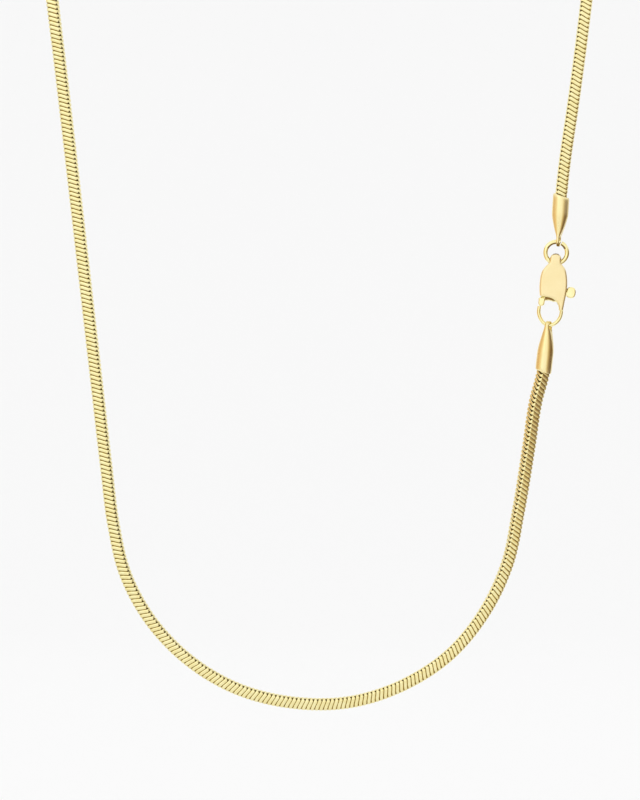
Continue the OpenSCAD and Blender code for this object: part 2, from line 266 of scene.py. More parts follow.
def apply_modifiers(obj):
    mesh = finished_mesh(obj)
    old = obj.data
    obj.modifiers.clear()
    obj.data = mesh
    mesh.name = obj.name
    bpy.data.meshes.remove(old)


def cut_away(obj, cutter):
    cut = obj.modifiers.new("cut", "BOOLEAN")
    cut.operation = "DIFFERENCE"
    cut.solver = "MANIFOLD"
    cut.object = cutter
    apply_modifiers(obj)
    bpy.data.objects.remove(cutter)


def put_in_place(obj, place, sharp):
    """Moves a finished mesh to its place and shades it smooth below an angle."""
    obj.data.transform(place)
    obj.data.polygons.foreach_set("use_smooth", [True] * len(obj.data.polygons))
    obj.data.set_sharp_from_angle(angle=math.radians(sharp))


# Materials
TONE_SPAN = (0.35, 0.65)   # the noise between these goes from the deep tone to the light one
WEAR_SPAN = (0.3, 0.7)     # and between these from the smoothest place to the roughest
WEAR_FINER = 3.1           # the wear's noise is this much finer than the tone's
RELIEF_DEPTH = 0.00002     # in metres


def nodes_of(name):
    material = bpy.data.materials.new(name)
    material.use_nodes = True
    tree = material.node_tree
    shader = tree.nodes["Principled BSDF"]
    return material, tree, shader


def add(tree, kind, **values):
    node = tree.nodes.new(kind)
    for key, value in values.items():
        if key in node.inputs:
            node.inputs[key].default_value = value
        else:
            setattr(node, key, value)
    return node


def gold(name, light, deep, roughness, spread, scale, stretch=(1, 1, 1), bump=0.0, bump_scale=None):
    """Gold-coloured metal: two close tones, uneven polish and a fine relief of rubbed lines."""
    material, tree, shader = nodes_of(name)
    shader.inputs["Metallic"].default_value = 1.0
    place = add(tree, "ShaderNodeTexCoord")
    mapping = add(tree, "ShaderNodeMapping", Scale=stretch)
    tree.links.new(place.outputs["Object"], mapping.inputs["Vector"])

    tone = add(tree, "ShaderNodeTexNoise", Scale=scale, Detail=3.0, Roughness=0.55)
    tree.links.new(mapping.outputs["Vector"], tone.inputs["Vector"])
    ramp = add(tree, "ShaderNodeValToRGB")
    for stop, position, colour in zip(ramp.color_ramp.elements, TONE_SPAN, (deep, light)):
        stop.position = position
        stop.color = (*colour, 1)
    tree.links.new(tone.outputs["Fac"], ramp.inputs["Fac"])
    tree.links.new(ramp.outputs["Color"], shader.inputs["Base Color"])

    wear = add(tree, "ShaderNodeTexNoise", Scale=scale * WEAR_FINER, Detail=4.0, Roughness=0.6)
    tree.links.new(mapping.outputs["Vector"], wear.inputs["Vector"])
    span = add(tree, "ShaderNodeMapRange")
    span.inputs["From Min"].default_value = WEAR_SPAN[0]
    span.inputs["From Max"].default_value = WEAR_SPAN[1]
    span.inputs["To Min"].default_value = roughness - spread
    span.inputs["To Max"].default_value = roughness + spread
    tree.links.new(wear.outputs["Fac"], span.inputs["Value"])
    tree.links.new(span.outputs["Result"], shader.inputs["Roughness"])

    if bump:
        lines = add(tree, "ShaderNodeTexNoise", Scale=bump_scale, Detail=2.0, Roughness=0.5)
        tree.links.new(mapping.outputs["Vector"], lines.inputs["Vector"])
        relief = add(tree, "ShaderNodeBump", Strength=bump, Distance=RELIEF_DEPTH)
        tree.links.new(lines.outputs["Fac"], relief.inputs["Height"])
        tree.links.new(relief.outputs["Normal"], shader.inputs["Normal"])
    return material


chain_gold = gold("chain_gold", (0.95, 0.87, 0.48), (0.91, 0.8, 0.39), 0.22, 0.05, 900.0,
                  bump=0.12, bump_scale=9000.0)
# Painted shade: the dark groove colour on the bands' side walls stands in for the shade down in the grooves.
groove_shade_gold = gold("groove_shade_gold", (0.66, 0.49, 0.1), (0.58, 0.41, 0.075), 0.45, 0.08, 1400.0)
# Painted shade: the dark core colour stands in for the shade deep between the bands.
core_shade_gold = gold("core_shade_gold", (0.38, 0.25, 0.04), (0.3, 0.18, 0.025), 0.6, 0.08, 1400.0)
# Painted shade: near black for the deep shade in the notches.
notch_shade_gold = gold("notch_shade_gold", (0.11, 0.058, 0.003), (0.08, 0.04, 0.002), 0.6, 0.08, 1400.0)
satin_gold = gold("satin_gold", (0.96, 0.84, 0.46), (0.93, 0.79, 0.4), 0.3, 0.04, 500.0,
                  stretch=(1, 1, 0.25), bump=0.2, bump_scale=5200.0)
body_gold = gold("body_gold", (0.95, 0.81, 0.47), (0.93, 0.78, 0.43), 0.38, 0.04, 420.0,
                 bump=0.2, bump_scale=6500.0)
polished_gold = gold("polished_gold", (0.98, 0.9, 0.5), (0.94, 0.83, 0.4), 0.17, 0.04, 600.0,
                     bump=0.06, bump_scale=5200.0)
# Painted shade: a dark colour for the shade inside the crimps' bores and seams, on the jump ring's cut faces
# and on the lever's web inside the slot.
hollow_shade_gold = gold("hollow_shade_gold", (0.34, 0.2, 0.06), (0.24, 0.14, 0.04), 0.5, 0.08, 900.0)


# The chain's line, its turned frames and the distance along it
ROUTE_STEPS = 24
SEAT_SQUEEZE = 0.94      # the chain is this much of its size inside a crimp
SEAT_RUN = 0.6           # and grows to its full size over this length outside
BACK_FINER = 0.028       # the back stretch is this much finer, inside the solid there

whole_route = (
    [[*(UPPER_MOUTH - leaning(UPPER_LEAN, CHAIN_SEAT)), UPPER_CHAIN_TURN], [*UPPER_MOUTH, UPPER_CHAIN_TURN]]
    + CHAIN_ROUTE
    + [[*LOWER_MOUTH, LOWER_CHAIN_TURN], [*(LOWER_MOUTH + leaning(LOWER_LEAN, CHAIN_SEAT)), LOWER_CHAIN_TURN]]
)
line = curve(whole_route, ROUTE_STEPS)
centre = line[:, :3]
travel = np.concatenate([[0.0], np.cumsum(np.linalg.norm(np.diff(centre, axis=0), axis=1))])
length = travel[-1]
along = unit(np.gradient(centre, travel, axis=0))
lean_back = np.clip((centre[:, 1] - FRONT_Y) / BEND_DEPTH, 0, 1)
want = np.stack([np.zeros_like(lean_back), lean_back - 1, lean_back], axis=1)
face = unit(want - np.sum(want * along, axis=1, keepdims=True) * along)
inner = np.cross(face, along)
turn = np.radians(line[:, 3])[:, None]
out_dir = face * np.cos(turn) - inner * np.sin(turn)
side_dir = inner * np.cos(turn) + face * np.sin(turn)


def on_chain(s, side, out):
    """Points at distance s along the chain and side and out from its middle line, in metres."""
    s = np.asarray(s, float)
    from_end = np.minimum(s, length - s)
    squeeze = np.interp(from_end, [CHAIN_SEAT, CHAIN_SEAT + SEAT_RUN], [SEAT_SQUEEZE, 1.0])
    squeeze = squeeze * (1 - BACK_FINER * np.interp(s, travel, lean_back))
    side, out = side * squeeze, out * squeeze

    def pick(table):
        return np.stack([np.interp(s, travel, table[:, k]) for k in range(3)], axis=-1)

    return (pick(centre) + pick(side_dir) * side[..., None] + pick(out_dir) * out[..., None]) * MM


# Round the square section, from one notched corner through a plain one to the other notched one
CROWN = 0.006            # the bands' middles stand out this much beyond the section
FLATS = CHAIN_W - 2 * CROWN
PLAIN_R = 0.55
NOTCHED_R = 0.5
ARC_STEPS = 10
FLAT_STEPS = 5


def half_section():
    """Side, out, their normals and the distance walked, and that distance in all."""
    h = FLATS / 2
    rows = []
    walk = 0.0

    def arc(cx, cy, radius, start, end, steps):
        nonlocal walk
        span = radius * math.radians(abs(end - start))
        for k in range(1 if rows else 0, steps + 1):
            a = math.radians(start + (end - start) * k / steps)
            x, y = math.cos(a), math.sin(a)
            rows.append([cx + radius * x, cy + radius * y, x, y, walk + span * k / steps])
        walk += span

    def flat(x0, y0, x1, y1, nx, ny):
        nonlocal walk
        span = math.hypot(x1 - x0, y1 - y0)
        for k in range(1, FLAT_STEPS + 1):
            t = k / FLAT_STEPS
            rows.append([x0 + (x1 - x0) * t, y0 + (y1 - y0) * t, nx, ny, walk + span * t])
        walk += span

    sharp, plain = h - NOTCHED_R, h - PLAIN_R
    arc(-sharp, -sharp, NOTCHED_R, 225, 180, ARC_STEPS // 2)
    flat(-h, -sharp, -h, plain, -1, 0)
    arc(-plain, plain, PLAIN_R, 180, 90, ARC_STEPS)
    flat(-plain, h, sharp, h, 0, 1)
    arc(sharp, sharp, NOTCHED_R, 90, 45, ARC_STEPS // 2)
    return np.array(rows), walk


half, half_walk = half_section()

# Bands. Their slope goes by the share of the way from a plain corner to a notched one
CORNER_SLOPE = 0.1
FACE_SLOPE = 0.48
NOTCH_SLOPE = 0.12
SLOPE_FROM = [0, 0.2, 0.34, 0.75, 1.0]
SLOPES = [CORNER_SLOPE, CORNER_SLOPE, FACE_SLOPE, FACE_SLOPE, NOTCH_SLOPE]
PITCH = 0.715            # about this far apart along the chain; PITCH_FIT fills the length evenly
STARTS = 3               # so many wind side by side, and each advances as many pitches in a round
TUCKED = 1.2             # they run on this far inside each crimp
PIECES = 4
# Points of the route, x, y and z, and the share of the pitch that is groove there
GROOVE_AT = [
    (44.3, FRONT_Y, -9, 0.14), (-44.5, FRONT_Y, -9, 0.16), (-34.4, FRONT_Y, -95.5, 0.16),
    (-22.5, FRONT_Y, -117.5, 0.1), (36, FRONT_Y, -74.7, 0.085),
]
CORNER_GAP = 0.14        # the bands are this much narrower round the plain corners
NOTCH_DEPTH = 0.26       # and this much at the notches
NOTCH_REACH = 0.3        # a notch ends this far from its middle
NOTCH_SHIFT = 0.06       # the notches lie a little past the corners, as the bands wind
NOTCH_RUN = 0.22         # distance past a notch counts only by this share, so it runs out slowly
NOTCH_DARK = 0.22        # nearer than this the grooves take the notch's painted shade
DIP = 0.05               # a band's far edge dips this much at the notches
DIP_REACH = 0.2
DIP_FROM = 0.6           # the edge that dips starts at this share of the width
SINK = 0.22              # the bands' sides go down this far
# Across a band: share of its width, height above the section
PROFILE = np.array([
    [0.0, -SINK], [0.0, -0.1], [0.07, -0.035], [0.22, -0.004], [0.5, CROWN],
    [0.78, -0.004], [0.93, -0.035], [1.0, -0.1], [1.0, -SINK],
])


def advances():
    """The share of a half round's advance that the bands have made at each of its points."""
    walked_here = half[:, 4]
    mid = half_walk / 2
    steep = np.interp(np.abs(walked_here - mid) / mid, SLOPE_FROM, SLOPES)
    rise = np.concatenate([[0], np.cumsum((steep[1:] + steep[:-1]) / 2 * np.diff(walked_here))])
    return rise / rise[-1]


def fade(distance, reach):
    """One at no distance, falling evenly to nothing at the reach."""
    return np.clip(1 - distance / reach, 0, 1)


share = advances()
first = half[:-1]
second = half[:-1].copy()
second[:, :4] *= -1
round_rows = np.concatenate([first, second, half[:1]])
walked = np.concatenate([first[:, 4], first[:, 4], [0.0]])
from_plain = np.abs(walked - half_walk / 2)
past_notch = walked - NOTCH_SHIFT
past_notch = np.where(past_notch > 0, past_notch * NOTCH_RUN, -past_notch)
from_notch = np.minimum(past_notch, half_walk - walked + NOTCH_SHIFT)

groove_from = [travel[np.argmin(np.linalg.norm(centre - at[:3], axis=1))] for at in GROOVE_AT]
groove_share = [at[3] for at in GROOVE_AT]
band_from = CHAIN_SEAT - TUCKED
band_to = length - CHAIN_SEAT + TUCKED
band_count = int((band_to - band_from) / PITCH)
PITCH_FIT = (band_to - band_from) / band_count
advance = np.concatenate([share[:-1], 1 + share[:-1], [2.0]]) * STARTS / 2 * PITCH_FIT


def band_points(numbers):
    """Points of the bands with these numbers: band, step round the section, step across."""
    place = band_from + numbers[:, None, None] * PITCH_FIT + advance[None, :, None]
    width = PITCH_FIT * (1 - np.interp(place, groove_from, groove_share))
    gap = NOTCH_DEPTH * fade(from_notch, NOTCH_REACH) + CORNER_GAP * fade(from_plain, PLAIN_R)
    s = place + (width - gap[:, None]) * PROFILE[:, 0] - width / 2
    dip = DIP * fade(from_notch, DIP_REACH)
    height = PROFILE[None, :, 1] - dip[:, None] * (PROFILE[None, :, 0] > DIP_FROM)
    side = round_rows[:, None, 0] + round_rows[:, None, 2] * height
    out = round_rows[:, None, 1] + round_rows[:, None, 3] * height
    s = np.clip(s, band_from, band_to)
    return on_chain(s, np.broadcast_to(side, s.shape), np.broadcast_to(out, s.shape))


def chain_piece(name, start, stop):
    """The bands from one number to another. After a round each meets the one STARTS further on."""
    pts = band_points(np.arange(start, stop))
    bands, steps, across = pts.shape[:3]
    idx = np.arange(bands * steps * across).reshape(bands, steps, across)
    idx[:-STARTS, -1, :] = idx[STARTS:, 0, :]
    quads = np.stack([idx[:, :-1, :-1], idx[:, :-1, 1:], idx[:, 1:, 1:], idx[:, 1:, :-1]], axis=-1)
    # The bands' side walls take the groove colour as painted shade, and the notch colour, darker still, near
    # the notches.
    deep = np.zeros((bands, steps - 1, across - 1), int)
    deep[:, :, 0] = deep[:, :, -1] = np.where(from_notch[:-1] < NOTCH_DARK, 2, 1)
    materials = [chain_gold, groove_shade_gold, notch_shade_gold]
    return quad_object(name, pts.reshape(-1, 3), quads.reshape(-1, 4), materials, deep.ravel())


spare = 2 * STARTS       # bands that start before the chain fill its first round
cuts = [round(-spare + (band_count + spare) * k / PIECES) for k in range(PIECES + 1)]
chain_pieces = [chain_piece(f"chain_links_{k + 1}", cuts[k], cuts[k + 1]) for k in range(PIECES)]

# The core that shows between the bands, in a dark colour that is painted shade, darkest under the notches
CORE_STEP = 0.35
CORE_SHORT = 0.02        # it ends this far inside the chain's ends
CORE_LAP = 0.03          # and reaches this far into the bands


def chain_core():
    rows = round_rows[:-1:2]
    sink = SINK - CORE_LAP
    s = np.arange(CORE_SHORT, length - CORE_SHORT, CORE_STEP)
    shape = (len(s), len(rows))
    points = on_chain(
        np.broadcast_to(s[:, None], shape),
        np.broadcast_to(rows[:, 0] - rows[:, 2] * sink, shape),
        np.broadcast_to(rows[:, 1] - rows[:, 3] * sink, shape),
    )
    near = np.append(from_notch[:-1:2], from_notch[0])
    dark = np.where(np.minimum(near[:-1], near[1:]) < NOTCH_DARK, 1, 0)
    slots = np.tile(dark, len(s) - 1)
    return grid_object("chain_core", points, [core_shade_gold, notch_shade_gold], slots, close_rows=True)


core = chain_core()
for piece in chain_pieces + [core]:
    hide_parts("snake_chain")
    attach(piece, BODY)


# Crimp ends. Sections above the mouth: height, half thickness, half width
UPPER_SECTIONS = [
    [0.8, CRIMP_R, CRIMP_R], [2.5, CRIMP_R, CRIMP_R], [3.3, 1.35, 1.355], [4.2, 1.16, 1.26],
    [5.05, 0.93, 1.14], [5.6, 0.76, 1.07], [6.2, 0.53, 1.02], [6.8, 0.31, 1.0],
    [7.2, UPPER_TAB_T / 2, TAB_W / 2],
]
LOWER_SECTIONS = [
    [0.8, CRIMP_R, CRIMP_R], [2.5, CRIMP_R, CRIMP_R], [3.4, 1.35, 1.36], [4.4, 1.22, 1.28],
    [5.4, 1.0, 1.16], [6.2, 0.8, 1.07], [6.8, 0.63, 1.02], [7.2, 0.5, 1.0],
    [7.6, LOWER_TAB_T / 2, TAB_W / 2],
]
# Inside the bore, from its end out to the mouth: height, radius
BORE_ROWS = [
    (CHAIN_SEAT, 0.2), (CHAIN_SEAT, 0.6), (CHAIN_SEAT - 0.02, BORE_R - 0.1), (CHAIN_SEAT - 0.2, BORE_R),
    (1.6, BORE_R), (0.35, BORE_R), (0.1, BORE_R), (0.03, BORE_R + 0.02),
]
# Round the mouth's edge: height, radius, depth of the seam
MOUTH_ROWS = [
    (0.0, CRIMP_R - 0.15, 0.02), (0.03, CRIMP_R - 0.11, 0.04), (0.12, CRIMP_R - 0.06, 0.1),
    (0.28, CRIMP_R - 0.02, 0.14), (0.5, CRIMP_R - 0.004, 0.16),
]
SECTION_STEPS = 6
SECTION_POINTS = 96
BEND_POINTS = 60         # points of the finer half round that they are spread along
SLEEVE_SEAM_DEPTH = 0.16
TAPER_SEAM_DEPTH = 0.05
TAB_SEAM_DEPTH = 0.04
SEAM_W = 0.2
SEAM_SLEEVE_W = 0.12
SEAM_END_W = 0.05
SEAM_NARROWS = 0.5       # the seam comes down to its width in the sleeve at this height
SLANT_REACH = 1.4        # the mouth's slant dies out at this height
DARK_ROWS = 5            # the first rows, deep in the bore, get painted shade
TAB_STEP = 0.1           # distance between the tab's rows
RIM = 0.1                # the tab ends this much nearer to its eye than in the solid
RIM_TURNS = np.radians(np.arange(6, 76, 6))
# The tab's very end: share of the rim's reach, then half thickness and half width, as shares
# of the tab's half thickness
TAB_END_ROWS = [(0.995, 0.65, 0.7), (1.0, 0.4, 0.42)]
EYE_FLARE = 0.07         # rounding of the eye's rims
EYE_CUT_REACH = 1.2
EYE_CUT_PAST = 0.02
EYE_SIDES = 48
CRIMP_SHARP = 38


def crimp_rows(sections):
    """Height, half thickness, half width and seam depth, from inside the bore to the tab's end."""
    half_t, half_w = sections[-1][1], TAB_W / 2
    rows = [(z, r, r, 0.0) for z, r in BORE_ROWS]
    rows += [(z, r, r, depth) for z, r, depth in MOUTH_ROWS]
    for z, row_t, row_w in curve(sections, SECTION_STEPS):
        depth = SLEEVE_SEAM_DEPTH if z < SLEEVE_LEN else TAPER_SEAM_DEPTH
        rows.append((z, min(row_t, CRIMP_R), min(row_w, CRIMP_R), depth))
    for z in np.arange(sections[-1][0] + TAB_STEP, EYE_AT, TAB_STEP):
        rows.append((z, half_t, half_w, TAB_SEAM_DEPTH))
    rim_r = half_w - RIM
    for a in RIM_TURNS:
        rows.append((EYE_AT + rim_r * math.sin(a), half_t, half_w * math.cos(a), 0.0))
    for reach, thick, wide in TAB_END_ROWS:
        rows.append((EYE_AT + rim_r * reach, half_t * thick, half_t * wide, 0.0))
    return rows


def flattened(half_t, half_w, seam):
    """Points round a flattened tube from one side of its seam, on +X, to the other."""
    straight = half_w - half_t
    start = math.asin(max(0.0, seam - straight) / half_t)
    a = np.linspace(start, math.pi, BEND_POINTS)
    x, y = half_t * np.cos(a), half_t * np.sin(a) + straight
    if seam < straight:
        x, y = np.concatenate([[half_t], x]), np.concatenate([[seam], y])
    x, y = np.concatenate([x, x[::-1]]), np.concatenate([y, -y[::-1]])
    walk = np.concatenate([[0], np.cumsum(np.hypot(np.diff(x), np.diff(y)))])
    at = np.linspace(0, walk[-1], SECTION_POINTS)
    return np.interp(at, walk, x), np.interp(at, walk, y)


def crimp_points(row, mouth_slant, seam_drift):
    """A row's points, with the seam as a groove between the first and the last of them."""
    z, half_t, half_w, depth = row
    seam = np.interp(z, [0, SEAM_NARROWS, SLEEVE_LEN], [SEAM_W, SEAM_SLEEVE_W, SEAM_END_W]) / 2
    x, y = flattened(half_t, max(half_w, half_t), min(seam, half_t / 2))
    x = np.concatenate([[x[0] - depth], x, [x[-1] - depth]])
    y = np.concatenate([[y[0]], y, [y[-1]]])
    drift = math.radians(seam_drift) * (1 - min(1, max(0, z / SLEEVE_LEN)) ** 2)
    ca, sa = math.cos(drift), math.sin(drift)
    x, y = x * ca - y * sa, x * sa + y * ca
    level = z + mouth_slant * max(0.0, 1 - z / SLANT_REACH) * x / CRIMP_R
    return list(zip(x, y, level))


def eye_cutter(half_t):
    """A pin through the tab that widens at its faces, so that the eye's rims come out rounded."""
    eye_r = EYE_D / 2
    wide_r = eye_r + EYE_FLARE
    profile = [(-EYE_CUT_REACH, 0), (-EYE_CUT_REACH, wide_r), (-half_t - EYE_CUT_PAST, wide_r)]
    for a in np.radians(np.arange(0, 91, 15)):
        profile.append((-half_t + EYE_FLARE * math.sin(a), eye_r + EYE_FLARE * (1 - math.sin(a))))
    return lathe("cutter", both_ends(profile), EYE_SIDES, satin_gold, Matrix.Translation((0, 0, EYE_AT)))


def crimp(name, sections, place, mouth_slant, seam_drift):
    """A rolled sheet sleeve with an open seam, pinched to a flat tab with an eye."""
    verts = []
    rows = crimp_rows(sections)
    for row in rows:
        verts += crimp_points(row, mouth_slant, seam_drift)
    n = len(rows)
    cols = SECTION_POINTS + 2
    faces = tube_faces(n, cols)
    faces.append(list(range(cols - 1, -1, -1)))
    faces.append([(n - 1) * cols + k for k in range(cols)])
    # The seam's walls, the rows deep in the bore and the bore's end get the hollow colour as painted shade.
    seam_shade_cols = (0, cols - 2, cols - 1)
    slots = [1 if k in seam_shade_cols or i < DARK_ROWS else 0 for i in range(n - 1) for k in range(cols)]
    obj = new_object(name, verts, faces, [satin_gold, hollow_shade_gold])
    obj.data.polygons.foreach_set("material_index", slots + [1, 0])
    cut_away(obj, eye_cutter(sections[-1][1]))
    put_in_place(obj, Matrix.Scale(MM, 4) @ place @ Matrix.Scale(1 / MM, 4), CRIMP_SHARP)
    return obj


def turned(at, lean, about_own_line):
    return Matrix.Translation(Vector(at)) @ rotation(lean, "Y") @ rotation(about_own_line, "Z")


upper_place = turned(UPPER_MOUTH, 180 + UPPER_LEAN, UPPER_TURN)
lower_place = turned(LOWER_MOUTH, LOWER_LEAN, LOWER_TURN)
upper = crimp("upper_crimp_sheet", UPPER_SECTIONS, upper_place, mouth_slant=0.4, seam_drift=0)
lower = crimp("lower_crimp_sheet", LOWER_SECTIONS, lower_place, mouth_slant=-0.3, seam_drift=-16)
for piece, node in ((upper, "upper_crimp"), (lower, "lower_crimp")):
    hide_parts(node)
    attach(piece, BODY)


# Jump ring: round wire with a cut, wider here than in the solid, its ends slightly rounded
RING_CUT = 0.2
RING_STEPS = 121
RING_SIDES = 28
RING_END_R = 0.86        # share of the wire's radius at its very ends
RING_END_TURN = 0.012    # radians over which the ends are rounded
RING_CUT_SHADE_REACH = 0.02         # the painted shade on the cut's faces reaches this far beyond it


def jump_ring():
    half_cut = RING_CUT / 2 / RING_R
    turns = np.linspace(half_cut, 2 * math.pi - half_cut, RING_STEPS) + math.radians(RING_CUT_TURN)
    wire_r = RING_WIRE / 2
    sections = [(turns[0], 0.0), (turns[0], wire_r * RING_END_R), (turns[0] + RING_END_TURN, wire_r)]
    sections += [(a, wire_r) for a in turns[2:-2]]
    sections += [(turns[-1] - RING_END_TURN, wire_r), (turns[-1], wire_r * RING_END_R), (turns[-1], 0.0)]
    verts = []
    for a, r in sections:
        for k in range(RING_SIDES):
            b = 2 * math.pi * k / RING_SIDES
            d = RING_R + r * math.cos(b)
            verts.append((d * math.cos(a), -r * math.sin(b), d * math.sin(a)))
    faces = [(a, d, c, b) for a, b, c, d in tube_faces(len(sections), RING_SIDES)]
    materials = [polished_gold, hollow_shade_gold]
    obj = new_object("jump_ring_wire", verts, faces, materials, Matrix.Translation(Vector(RING_CENTRE)))
    solid = bmesh.new()
    solid.from_mesh(obj.data)
    bmesh.ops.remove_doubles(solid, verts=solid.verts, dist=1e-7)
    bmesh.ops.recalc_face_normals(solid, faces=solid.faces)
    solid.to_mesh(obj.data)
    solid.free()
    # The cut's end faces get the hollow colour as painted shade.
    cut_turn = math.radians(RING_CUT_TURN)
    cut_way = np.array([math.cos(cut_turn), math.sin(cut_turn)])
    across_cut = np.array([-cut_way[1], cut_way[0]])
    for polygon in obj.data.polygons:
        way = np.array([polygon.center.x, polygon.center.z]) / MM - RING_CENTRE[[0, 2]]
        if way @ cut_way > 0 and abs(way @ across_cut) < RING_CUT / 2 + RING_CUT_SHADE_REACH:
            polygon.material_index = 1
    return obj


ring = jump_ring()
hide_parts("jump_ring")
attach(ring, BODY)


# Clasp, drawn from the neck's hole with x to the right, y up the clasp and z to the front.
# The body's sides: share of its length from the neck's top, then shares of its width each way
BODY_SIDES = [
    [0.215, 0.214, 0.222], [0.25, 0.246, 0.27], [0.295, 0.305, 0.345], [0.35, 0.366, 0.405],
    [0.405, 0.42, 0.438], [0.51, 0.464, 0.482], [0.67, 0.475, 0.518], [0.85, 0.455, 0.522],
    [0.98, 0.42, 0.505],
]
# Its lower edge and the leg's outer side: share of the width, share of the length
LOWER_EDGE = [[-0.37, 1], [-0.2, 0.998], [0, 1.012], [0.13, 1.05], [0.235, 1.11], [0.3, 1.19], [0.325, 1.27]]
LEG_SIDE = [[0.478, 1.16], [0.462, 1.27]]
# The hook from the leg to its tip: share of the width, share of the hook's height
HOOK_LINE = [
    [0.374, 0.913], [0.402, 0.696], [0.42, 0.511], [0.391, 0.315], [0.283, 0.135], [0.13, 0.026],
    [-0.022, 0], [-0.174, 0.065], [-0.309, 0.213], [-0.391, 0.402], [-0.398, 0.632],
]
# The slot and the lever, from the rivet: shares of the width to the right and of the length down
SLOT_SHAPE = [
    [-0.174, -0.162], [0.457, -0.196], [0.565, -0.264], [0.62, -0.358], [0.913, -0.358],
    [0.913, 0.135], [0.565, 0.135], [0.5, 0.189], [0.489, 0.284], [0.457, 0.378], [-0.174, 0.378],
]
ARM_TOP = [[-0.065, -0.081], [0.13, -0.081], [0.348, -0.047], [0.565, 0]]
WEB_SHAPE = [
    [0.522, 0.108], [0.457, 0.155], [0.413, 0.236], [0.283, 0.246], [0.13, 0.232],
    [-0.022, 0.243], [-0.148, 0.243], [-0.152, 0.108],
]
GATE_SHAPE = [
    [-0.076, 0.173], [-0.196, 0.176], [-0.248, 0.196], [-0.252, 0.257], [-0.239, 0.338],
    [-0.196, 0.368], [-0.12, 0.37], [-0.043, 0.338], [-0.026, 0.27], [-0.026, 0.203],
]
# Where the arm runs into the knob: shares of the knob's diameter from its middle
ARM_END = [[-0.28, 0.03], [-0.09, 0.25], [-0.53, 0.47]]

OUTLINE_STEPS = 8
HOOK_STEPS = 12
HOOK_SIDES = 32
BODY_ROUND = 0.36        # rounding of the body's edges
BODY_VOXEL = 0.06
BODY_SOFTENING = 4
TIP_LEFT = 0.1           # what the softening takes off the hook's tip
POLISHED_RIM = 0.1       # the polish reaches this far above the body's lower edge
CLASP_SHARP = 40
PLATE_ROUND_STEPS = 4
NEAREST = 0.001          # points of an outline that lie nearer than this count as one
DRILL_REACH = 4.0
NECK_HOLE_SIDES = 48
RIVET_SIDES = 40

CLASP_PLACE = Matrix.Translation(Vector(CLASP_AT)) @ rotation(CLASP_LEAN, "Y") @ rotation(90, "X")
RIVET_PLACE = Matrix.Translation((RIVET_AT[0], RIVET_AT[1], 0)) @ rotation(90, "Y")


def below_neck(x, drop):
    return [x, NECK_HOLE_DROP - drop]


def on_body(shares):
    return [below_neck(q[0] * CLASP_W, q[1] * BODY_LEN) for q in shares]


def from_rivet(shape):
    return np.array([[RIVET_AT[0] + q[0] * CLASP_W, RIVET_AT[1] - q[1] * BODY_LEN] for q in shape])


def body_outline():
    foot = NECK_SHARE * BODY_LEN
    left = [below_neck(-NECK_W / 2, foot)] + on_body([(-r[1], r[0]) for r in BODY_SIDES])
    right = [below_neck(NECK_W / 2, foot)] + on_body([(r[2], r[0]) for r in BODY_SIDES] + LEG_SIDE)
    top = [below_neck(NECK_W / 2 * math.cos(a), NECK_W / 2 - NECK_W / 2 * math.sin(a))
           for a in np.radians(np.arange(0, 181, 10))]
    return np.concatenate([
        curve(left, OUTLINE_STEPS), curve(on_body(LOWER_EDGE), OUTLINE_STEPS),
        curve(right, OUTLINE_STEPS)[::-1], top,
    ])


def far_apart(a, b):
    return np.linalg.norm(np.asarray(a) - np.asarray(b)) > NEAREST


def plate(name, outline, thick, rounding, material):
    """A plate with rounded edges whose outline stays where it is drawn, in millimetres."""
    data = bpy.data.curves.new(name, "CURVE")
    data.dimensions = "2D"
    data.fill_mode = "BOTH"
    data.extrude = thick / 2 - rounding
    data.bevel_depth = rounding
    data.bevel_resolution = PLATE_ROUND_STEPS
    data.offset = -rounding
    spline = data.splines.new("POLY")
    keep = [outline[0]]
    for q in outline[1:]:
        if far_apart(q, keep[-1]):
            keep.append(q)
    if not far_apart(keep[0], keep[-1]):
        keep.pop()
    spline.points.add(len(keep) - 1)
    for point, q in zip(spline.points, keep):
        point.co = (q[0], q[1], 0, 1)
    spline.use_cyclic_u = True
    shape = bpy.data.objects.new(name + "_line", data)
    bpy.context.scene.collection.objects.link(shape)
    mesh = finished_mesh(shape)
    bpy.data.objects.remove(shape)
    mesh.materials.clear()
    return shown(name, mesh, [material])


def wire(name, path, half_w, half_t, sides, material):
    """A wire of oval section along a flat line, with flat ends, in millimetres."""
    path = np.asarray(path, float)
    heads = unit(np.gradient(path, axis=0))
    verts = []
    n = len(path)
    for i in range(n):
        side = np.array([-heads[i, 1], heads[i, 0]])
        for k in range(sides):
            a = 2 * math.pi * k / sides
            verts.append((path[i, 0] + side[0] * half_w[i] * math.cos(a),
                          path[i, 1] + side[1] * half_w[i] * math.cos(a), half_t[i] * math.sin(a)))
    faces = tube_faces(n, sides)
    faces.append(list(range(sides - 1, -1, -1)))
    faces.append([(n - 1) * sides + k for k in range(sides)])
    return new_object(name, verts, faces, [material], scale=1.0)


def joined(obj, others):
    """The first object with the meshes of the others added to its own."""
    solid = bmesh.new()
    for part in [obj] + others:
        solid.from_mesh(part.data)
    solid.to_mesh(obj.data)
    solid.free()
    for part in others:
        bpy.data.objects.remove(part)
    return obj


def melted(obj, voxel, smooth_steps):
    """One skin over all of obj's shells, with its inner corners softened."""
    remesh = obj.modifiers.new("skin", "REMESH")
    remesh.mode = "VOXEL"
    remesh.voxel_size = voxel
    remesh.use_smooth_shade = True
    smooth = obj.modifiers.new("soften", "SMOOTH")
    smooth.factor = 0.5
    smooth.iterations = smooth_steps
    apply_modifiers(obj)


